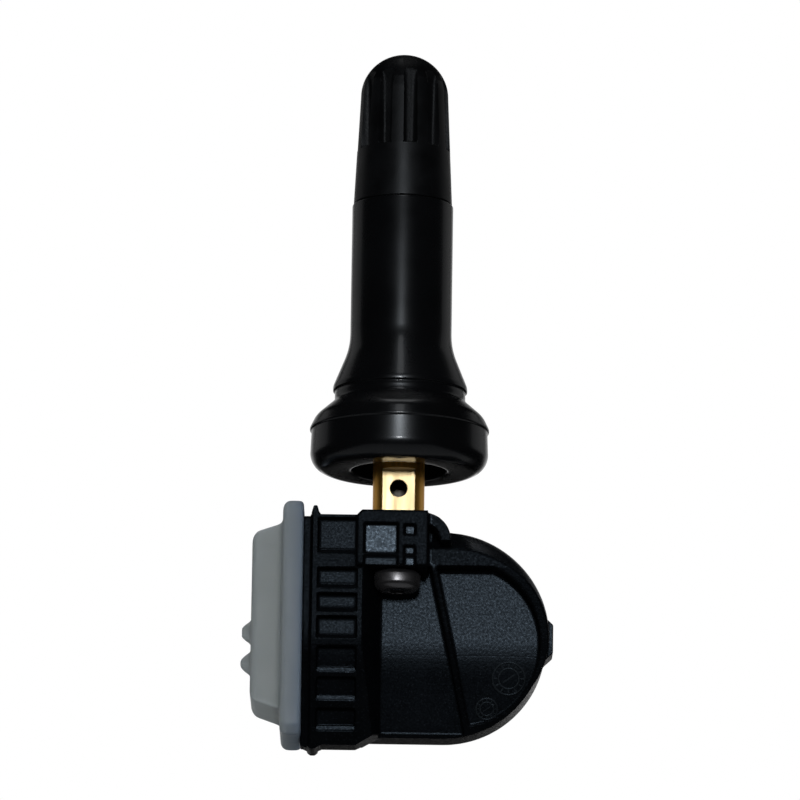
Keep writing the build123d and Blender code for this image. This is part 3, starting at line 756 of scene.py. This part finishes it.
def brass_finish():
    """Turned brass with milled flats on the tang and a dull air passage, darkened inside with painted shade.
    """
    made = bpy.data.materials.get("turned_brass")
    if made:
        return made
    base = finish_colour("brass")
    finish, tree, skin = shader("turned_brass", base, 0.5, 1.0)
    x, y, z = node(tree, "ShaderNodeSeparateXYZ", {0: own_place(tree)}).outputs
    outer = spread(tree, maths(tree, "ABSOLUTE", y), 0.0, 1.0, *FLAT_Y)
    flat = times(tree, outer, spread(tree, z, 1.0, 0.0, *TANG_Z))
    # painted shade: the inside of the air passage is darkened in the colour
    inside = spread(tree, from_axis(tree, x, y), 1.0, 0.0, *PASSAGE_R)
    streak = pattern(tree, 2600.0, 2.0, (1, 1, 0.08))
    body = two_tone(tree, streak, toned(base, 0.8), base)
    bright = blend(tree, flat, body, finish_colour("milled"))
    worn = maths(tree, "ADD", spread(tree, streak, 0.34, 0.46), times(tree, flat, 0.11))
    feed(skin, {
        "Base Color": blend(tree, inside, bright, PASSAGE_SHADE_TONE),
        "Roughness": maths(tree, "ADD", worn, times(tree, inside, 0.2)),
    })
    raised(tree, skin, streak, 0.10, FINE_GRAIN, rounding=0.12 * MM)
    return finish


def dress(piece, body, slot, finishes, *nodes):
    piece.data.materials.clear()
    for finish in finishes:
        piece.data.materials.append(finish)
    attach(piece, body)
    if nodes:
        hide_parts(*nodes)


class SENSOR_OT_cap(bpy.types.Operator):
    """Make the fluted valve cap"""
    bl_idname = "sensor.cap"
    bl_label = "Valve cap"

    def execute(self, context):
        s = context.scene.sensor_cap
        seal_play = 0.02 * MM
        bore_ring = 1.2 * MM
        waist_lead = 0.1 * MM
        ring_gap = 0.03 * MM
        wall_rows = 40
        bottom = CAP_LOW.z
        top = SEAL_HIGH.z + seal_play
        dome_z = CAP_HIGH.z - s.dome_r
        rim = softened([
            (s.bore_r, bottom + bore_ring, 0), (s.bore_r, bottom, s.edge),
            (s.skirt_r, bottom, s.edge), (s.waist_r, s.waist_z - waist_lead, 0),
        ])
        foot = [(s.waist_r, s.waist_z - i * ring_gap) for i in (3, 2, 1)]
        wall = [(s.waist_r + (s.dome_r - s.waist_r) * i / wall_rows,
                 s.waist_z + (dome_z - s.waist_z) * i / wall_rows) for i in range(wall_rows + 1)]
        dome = arc(0, dome_z, s.dome_r, 0, 90, 36)[1:-1]
        rows = [(0, top), (s.bore_r, top)] + rim + foot + wall + dome + [(0, CAP_HIGH.z)]
        skin = turned("cap_raw", rows, steps=528)
        satin = cap_plastic("satin_cap_plastic", finish_colour("cap"), specular=0.12)
        dull = cap_plastic("dull_cap_plastic", finish_colour("cap"), specular=0.025)
        piece = grown(skin, flute_tree(), {
            "Flutes": s.flutes, "Turn": s.flute_turn - pi / 2, "Half width": s.flute_w / 2,
            "End": s.flute_end, "Floor": s.flute_floor, "Bottom": s.waist_z, "Finish": satin,
        }, "cap_shell")
        smooth(piece.data, angle=40)
        dress(piece, "cap", "cap_plastic", [satin, dull], "valve_cap")
        for face in piece.data.polygons:
            on_dome = face.normal.z > 0.3 and face.center.z > dome_z
            face.material_index = int(on_dome)
        return {"FINISHED"}


class SENSOR_OT_rubber(bpy.types.Operator):
    """Make the rubber valve body"""
    bl_idname = "sensor.rubber"
    bl_label = "Rubber valve body"

    def execute(self, context):
        s = context.scene.sensor_rubber
        top = RUBBER_HIGH.z
        bottom = RUBBER_LOW.z
        lip_edge = 0.06 * MM
        crease = 0.06 * MM
        crease_h = 0.45 * MM
        hair = 0.12 * MM
        groove_round = 0.35 * MM
        side_lead = 1.4 * s.bead_h
        side_round = 0.5 * MM
        side_dip = 0.09 * MM
        bead_round = 0.08 * MM
        recess_edge = 0.4 * MM
        recess_round = 0.3 * MM
        upper = softened([
            (s.bore_r, top, 0), (s.body_r, top, s.top_edge), (s.body_r, s.flare_z, s.flare_round),
            (s.ring_r, s.lip_z, s.lip_round), (s.ring_r, s.lip_foot, lip_edge),
            (s.groove_r - crease, s.lip_foot - hair, hair), (s.groove_r, s.lip_foot - crease_h, hair),
            (s.groove_r, s.groove_z, groove_round), (s.shoulder_r, s.shoulder_z, s.shoulder_round),
            (s.side_r, s.bead_z + side_lead, side_round), (s.bead_r, s.bead_z + s.bead_h / 2, bead_round),
            (s.bead_r, s.bead_z - s.bead_h / 2, bead_round), (s.side_r - side_dip, s.bead_z - s.bead_h, hair),
            (s.side_r, bottom + s.foot_round, 0),
        ])
        foot = arc(s.side_r - s.foot_round, bottom + s.foot_round, s.foot_round, 0, -90, 20)
        under = softened([
            (*foot[-1], 0), (s.recess_r, bottom, recess_edge), (s.recess_r, s.recess_z, recess_round),
            (s.bore_r, s.recess_z, 0),
        ])
        piece = turned("rubber_body", upper + foot[1:] + under[1:], steps=180)
        glossy = glossy_rubber("glossy_valve_rubber", finish_colour("rubber"), coat=0.08)
        polished = glossy_rubber("polished_valve_rubber", finish_colour("rubber"), coat=0.9)
        dress(piece, "sensor", "valve_rubber", [glossy, polished], "valve_rubber")
        for face in piece.data.polygons:
            faces_down = face.normal.z < -0.9
            face.material_index = int(faces_down)
        return {"FINISHED"}


class SENSOR_OT_metal(bpy.types.Operator):
    """Make the screw, the thread for the cap and the core spring"""
    bl_idname = "sensor.metal"
    bl_label = "Screw, stem thread and core spring"

    def execute(self, context):
        s = context.scene.sensor_metal
        lobe_count = 6
        tip_r = 0.9 * MM
        tip_h = 0.6 * MM
        shank_round = 0.1 * MM
        drive_edge = 0.05 * MM
        drive_draft = 0.94
        thread_spare = 0.6 * MM
        thread_start = 0.15 * MM
        bottom = SCREW_LOW.z
        top = SCREW_HIGH.z
        seat = bottom + s.head_h

        def lobes(a):
            return (s.drive_r + s.drive_root) / 2 + (s.drive_r - s.drive_root) / 2 * cos(lobe_count * a)

        def deep_lobes(a):
            return lobes(a) * drive_draft

        shank = softened([
            (tip_r, top, 0), (s.shank_r, top - tip_h, shank_round), (s.shank_r, seat, shank_round),
            (s.head_r - s.head_edge, seat, 0),
        ])
        crown = arc(s.head_r - s.head_edge, seat - s.head_edge, s.head_edge, 90, 0, 8)
        end = arc(s.head_r - s.head_round, bottom + s.head_round, s.head_round, 0, -90, 14)
        rows = [(0, top)] + shank + crown[1:] + end + [
            (lobes, bottom), (deep_lobes, bottom + drive_edge), (deep_lobes, bottom + s.drive_depth),
            (0, bottom + s.drive_depth),
        ]
        piece = turned("fixing_screw_head", rows, steps=144)
        tone = finish_colour("screw")
        steel = plain_finish("black_screw_steel", tone, rough=0.29, metal=0.9, grain=900.0, bump=0.04)
        feed(steel.node_tree.nodes["Principled BSDF"], {"Anisotropic": 0.75})
        dress(piece, "sensor", "screw_steel", [steel], "fixing_screw")
        brass = brass_finish()
        rise = STEM_HIGH.z - RUBBER_HIGH.z - thread_spare
        winding = winding_tree()
        ridge = grown(blank("thread_raw"), winding, {
            "Turns": rise / s.pitch, "Radius": STEM_HIGH.x, "Height": rise,
            "Bottom": RUBBER_HIGH.z + thread_start, "Ridge": s.thread_h, "Finish": brass,
        }, "stem_thread")
        smooth(ridge.data, angle=50)
        dress(ridge, "sensor", "stem_brass", [brass])
        self.spring(s, winding)
        return {"FINISHED"}

    def spring(self, s, winding):
        """The core spring: a coil of wire that stands on the barrel."""
        low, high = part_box("core_spring")
        length = high.z - low.z
        wire = plain_finish("spring_wire", SPRING_TONE, rough=0.25, metal=1.0, grain=2600.0, bump=0.06)
        coil = grown(blank("spring_raw"), winding, {
            "Turns": s.spring_turns, "Radius": high.x - s.wire_r, "Height": length - 2 * s.wire_r,
            "Bottom": low.z + s.wire_r, "Ridge": s.wire_r, "Finish": wire,
        }, "core_spring_coil")
        smooth(coil.data, angle=50)
        dress(coil, "sensor", "spring_steel", [wire], "core_spring")
        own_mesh(coil)


class SENSOR_OT_box(bpy.types.Operator):
    """Make the sensor box and its lid with rounded edges"""
    bl_idname = "sensor.box"
    bl_label = "Sensor box and lid"

    def execute(self, context):
        s = context.scene.sensor_box
        finishes = [
            eroded_plastic(name, finish_colour(base), specular) for name, base, specular in (
                ("rib_black_plastic", "housing", 0.017),
                ("eroded_black_plastic", "grain", 0.070),
                ("eroded_pocket_plastic", "grain", 0.19),
                ("flank_black_plastic", "housing", 0.30),
                ("ladder_black_plastic", "grain", 0.036),
            )
        ]

        def reshape(spot):
            return self.crowned(s, self.bent(s, self.stepped(s, self.tapered(spot))))

        box = rounded_copy("housing", "sensor_box", s.edge, s.edge_passes, reshape)
        dress(box, "sensor", "housing_plastic", finishes, "housing")
        for face in box.data.polygons:
            face.material_index = self.front_finish(s, face.center, face.normal)
        lid = rounded_copy("lid", "frosted_lid", s.lid_edge, s.lid_passes, self.welded, flats=False)
        # How far each point of the lid looks down, for its painted light from below.
        under = lid.data.attributes.new("under", "FLOAT", "POINT")
        for mark, facing in zip(under.data, lid.data.vertex_normals):
            mark.value = max(0, -facing.vector.z)
        frosted = frosted_plastic("frosted_lid_plastic", finish_colour("lid"), finish_colour("lid_edge"))
        dress(lid, "sensor", "lid_plastic", [frosted], "lid")
        # The dial marks are coloured lighter than the panels: painted sheen.
        marks = eroded_plastic("dial_plastic", finish_colour("dial"), specular=0.12)
        for name, radius, spot in (
            ("mould_dial", s.dial_r, DIAL_PLACE),
            ("small_mould_dial", s.small_dial_r, SMALL_DIAL_PLACE),
        ):
            dial = grown(blank(name + "_raw"), dial_tree(), {
                "Ticks": s.dial_ticks, "Radius": radius, "Height": s.dial_h, "Place": spot,
                "Slope": pi / 2 + atan2(s.panel_slope, 1.0), "Finish": marks,
            }, name)
            smooth(dial.data, angle=40)
            dress(dial, "sensor", "housing_plastic", [marks])
        return {"FINISHED"}

    def welded(self, spot):
        """Brings the rounded edge of the lid up to the weld and narrows the two nubs to their tips."""
        near = max(0, (spot.x - WELD_X) / WELD_RIM)
        out = (NUB_X - spot.x) / NUB_LENGTH
        if out <= 0:
            return Vector((spot.x + WELD_SHIFT * near, spot.y, spot.z))
        middle = Vector((spot.x, NUB_Y, NUB_Z[0] if spot.z > NUB_SPLIT_Z else NUB_Z[1]))
        return middle + (spot - middle) * (1 - NUB_TAPER * out)

    def stepped(self, s, spot):
        """Turns the sloped lower walls of the lower pockets into upright rungs."""
        if not between(spot.x, POCKET_X):
            return spot
        for bottom in RUNG_FEET:
            share = (spot.z - bottom) / RUNG_H
            front = s.rail_y + (s.bend_z - bottom) * s.ladder_slope
            if between(share, RUNG_SHARE) and front - RUNG_SLACK < spot.y < front + POCKET_DEPTH:
                upright = front - RUNG_LEAN * share
                reach = unit((share - RUNG_TOP) / RUNG_FADE)
                return Vector((spot.x, upright + (spot.y - upright) * reach, spot.z))
        return spot

    def tapered(self, spot):
        """Narrows the ends of the outer rib to blunt teeth."""
        if not between(spot.x, RIB_X):
            return spot
        for side, (start, root, length, width, loss) in ((1, UPPER_TOOTH), (-1, LOWER_TOOTH)):
            if side * (spot.z - start) > 0:
                left = width - loss * side * (spot.z - root) / length
                return Vector((RIB_MIDDLE + (spot.x - RIB_MIDDLE) * left, spot.y, spot.z))
        return spot

    def bent(self, s, spot):
        """Rounds the bend of the front: near it, every front face runs back a little earlier."""
        off = abs(spot.z - s.bend_z)
        if off > s.bend_reach:
            return spot
        back = unit((BEND_BACK_Y - spot.y) / MM)
        slope = s.ladder_slope if spot.x < LADDER_X[1] else s.panel_slope
        shift = back * slope * (s.bend_reach - off) ** 2 / (4 * s.bend_reach)
        return Vector((spot.x, spot.y + shift, spot.z))

    def crowned(self, s, spot):
        """Gives the flank between the frame and the outline of the battery end a slight crown."""
        share = (spot.y - FLANK_Y) / FLANK_DEPTH
        if not 0 < share < 1 or spot.x < FLANK_X:
            return spot
        x, z, radius = (start + change * share for start, change in zip(FLANK_FRONT, FLANK_CHANGE))
        centre = Vector((x, 0, z)) * MM
        out = Vector((max(0, spot.x - centre.x), 0, spot.z - centre.z))
        near = 1 - abs(out.length - radius * MM) / FLANK_BAND
        ramp = min((spot.x - FLANK_X) / FLANK_RAMP, 1)
        return spot + out.normalized() * s.flank_bulge * 4 * share * (1 - share) * max(near, 0) * ramp

    def front_finish(self, s, spot, facing):
        """The finish of a face of the housing, from its place and the way it faces."""
        faces_up = facing.z > 0.5 and facing.y < -0.2
        if faces_up and between(spot.x, LEDGE_X):
            return POCKET
        on_web = between(spot.x, WEB_X) and spot.z > WEB_Z and spot.y < WEB_Y
        if on_web and facing.y < -0.4:
            return GRAIN
        faces_side = facing.y > -0.85
        if faces_side:
            return FLANK if spot.x > HOOK_X and spot.y > FLANK_Y and facing.z > 0.15 else RIBS
        if s.block_y + BLOCK_RIM < spot.y < s.rail_y - BLOCK_BACK:
            return GRAIN if spot.z < BLOCK_FOOT_Z and spot.x < BLOCK_SIDE_X else POCKET
        set_back = max(0, s.bend_z - spot.z)
        if spot.x < LADDER_X[0]:
            return RIBS
        if spot.x < LADDER_X[1]:
            on_rung = facing.z > -0.2 and set_back > RUNG_SET_BACK and between(spot.x, RUNG_X)
            deep = spot.y > s.rail_y + POCKET_FLOOR + s.ladder_slope * set_back
            return GRAIN if on_rung else LADDER if deep else RIBS
        return GRAIN if spot.y > PANEL_Y + PANEL_RUN * set_back else RIBS


class SENSOR_OT_solids(bpy.types.Operator):
    """Give every solid that stays its own finish"""
    bl_idname = "sensor.solids"
    bl_label = "Stem, core and board"

    def execute(self, context):
        self.coat("brass_stem", brass_finish())
        for name, (base, rough, metal, grain, bump, stretch, solids) in SOLID_FINISHES.items():
            finish = plain_finish(name, base, rough, metal, grain, bump, stretch)
            for solid in solids:
                self.coat(solid, finish)
        return {"FINISHED"}

    def coat(self, name, finish):
        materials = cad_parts[name].data.materials
        materials.clear()
        materials.append(finish)


class SENSOR_OT_stage(bpy.types.Operator):
    """Set the camera, the lights, the floor and the white surroundings"""
    bl_idname = "sensor.stage"
    bl_label = "Stage"

    def execute(self, context):
        s = context.scene.sensor_stage
        scene = context.scene
        scene.view_settings.view_transform = "Standard"
        camera = bpy.data.objects.new("camera", bpy.data.cameras.new("camera"))
        scene.collection.objects.link(camera)
        back = Vector((0, -cos(s.elevation), sin(s.elevation)))
        camera.location = back * s.distance
        camera.rotation_mode = "QUATERNION"
        camera.rotation_quaternion = (-back).to_track_quat("-Z", "Y") @ Quaternion((0, 0, 1), s.roll)
        camera.data.sensor_width = 36
        camera.data.lens = s.lens
        camera.data.clip_start = 0.01
        camera.data.clip_end = 20
        scene.camera = camera
        for name, power, width, height, azimuth, elevation in (
            ("key", s.key_power, 0.09, 0.09, 0, 6),
            ("top", s.top_power, 0.26, 0.45, 0, 100),
            ("strip", s.strip_power, 0.12, 0.50, 0, 50),
            ("left", s.side_power, 0.5, 0.5, -125, 18),
            ("right", s.side_power, 0.5, 0.5, 125, 18),
        ):
            light = bpy.data.lights.new(name, "AREA")
            light.energy = power
            light.shape = "RECTANGLE"
            light.size = width
            light.size_y = height
            lamp = bpy.data.objects.new(name, light)
            scene.collection.objects.link(lamp)
            lamp.visible_camera = False
            a = radians(azimuth)
            e = radians(elevation)
            out = Vector((sin(a) * cos(e), -cos(a) * cos(e), sin(e)))
            lamp.location = out * LAMP_DISTANCE
            lamp.rotation_euler = (-out).to_track_quat("-Z", "Y").to_euler()
        world = bpy.data.worlds.new("surroundings")
        scene.world = world
        world.use_nodes = True
        tree = world.node_tree
        ray = node(tree, "ShaderNodeTexCoord").outputs["Generated"]
        ahead, up = node(tree, "ShaderNodeSeparateXYZ", {0: ray}).outputs[1:]
        across = spread(tree, ahead, 0.0, 1.0, *BACKDROP_Y)
        behind = times(tree, across, spread(tree, up, 0.0, 1.0, *BACKDROP_Z))
        fill = spread(tree, up, s.low_fill, s.fill, *GROUND_Z)
        tree.nodes["Background"].inputs["Color"].default_value = (1, 1, 1, 1)
        self.white_ground(tree, tree.nodes["Background"].inputs["Strength"], fill, behind)
        self.floor(s)
        return {"FINISHED"}

    def white_ground(self, tree, socket, fill, mirrored):
        """White where it is seen, seen through or mirrored; otherwise a soft fill."""
        path = node(tree, "ShaderNodeLightPath").outputs
        straight = maths(tree, "MAXIMUM", path["Is Camera Ray"], path["Is Transmission Ray"])
        seen = maths(tree, "MAXIMUM", straight, path["Is Glossy Ray"])
        white = maths(tree, "MAXIMUM", straight, times(tree, path["Is Glossy Ray"], mirrored))
        soft = times(tree, maths(tree, "SUBTRACT", 1.0, seen), fill)
        tree.links.new(maths(tree, "ADD", white, soft), socket)

    def floor(self, s):
        bm = bmesh.new()
        level = Matrix.Translation((0, 0, s.floor_z))
        bmesh.ops.create_grid(bm, x_segments=4, y_segments=4, size=1.2, matrix=level)
        mesh = bpy.data.meshes.new("floor")
        bm.to_mesh(mesh)
        bm.free()
        floor = mesh_object("floor", mesh)
        finish, tree, skin = shader("pale_floor", (0.8, 0.8, 0.8, 1), 0.9)
        feed(skin, {"Emission Color": (1, 1, 1, 1)})
        self.white_ground(tree, skin.inputs["Emission Strength"], fill=0.0, mirrored=0.08)
        mesh.materials.append(finish)


class SENSOR_PT_panel(bpy.types.Panel):
    """Lists the pieces of the sensor"""
    bl_label = "Tyre Pressure Sensor"
    bl_idname = "SENSOR_PT_panel"
    bl_space_type = "VIEW_3D"
    bl_region_type = "UI"
    bl_category = "Sensor"

    def draw(self, context):
        for operator in OPERATORS:
            self.layout.operator(operator.bl_idname)
        for group in GROUPS:
            settings = getattr(context.scene, group)
            column = self.layout.column(align=True)
            for key in settings.bl_rna.properties.keys():
                if key not in ("rna_type", "name"):
                    column.prop(settings, key)


OPERATORS = (
    SENSOR_OT_solids, SENSOR_OT_cap, SENSOR_OT_rubber, SENSOR_OT_metal, SENSOR_OT_box, SENSOR_OT_stage,
)
GROUPS = {
    "sensor_cap": SENSOR_PG_cap,
    "sensor_rubber": SENSOR_PG_rubber,
    "sensor_metal": SENSOR_PG_metal,
    "sensor_box": SENSOR_PG_box,
    "sensor_finish": SENSOR_PG_finish,
    "sensor_stage": SENSOR_PG_stage,
}


def register():
    for cls in (*GROUPS.values(), *OPERATORS, SENSOR_PT_panel):
        bpy.utils.register_class(cls)
    for name, cls in GROUPS.items():
        setattr(bpy.types.Scene, name, PointerProperty(type=cls))


def unregister():
    for name in GROUPS:
        delattr(bpy.types.Scene, name)
    for cls in reversed((*GROUPS.values(), *OPERATORS, SENSOR_PT_panel)):
        bpy.utils.unregister_class(cls)


def main():
    register()
    bpy.ops.sensor.solids()
    bpy.ops.sensor.cap()
    bpy.ops.sensor.rubber()
    bpy.ops.sensor.metal()
    bpy.ops.sensor.box()
    bpy.ops.sensor.stage()


if __name__ == "__main__":
    main()
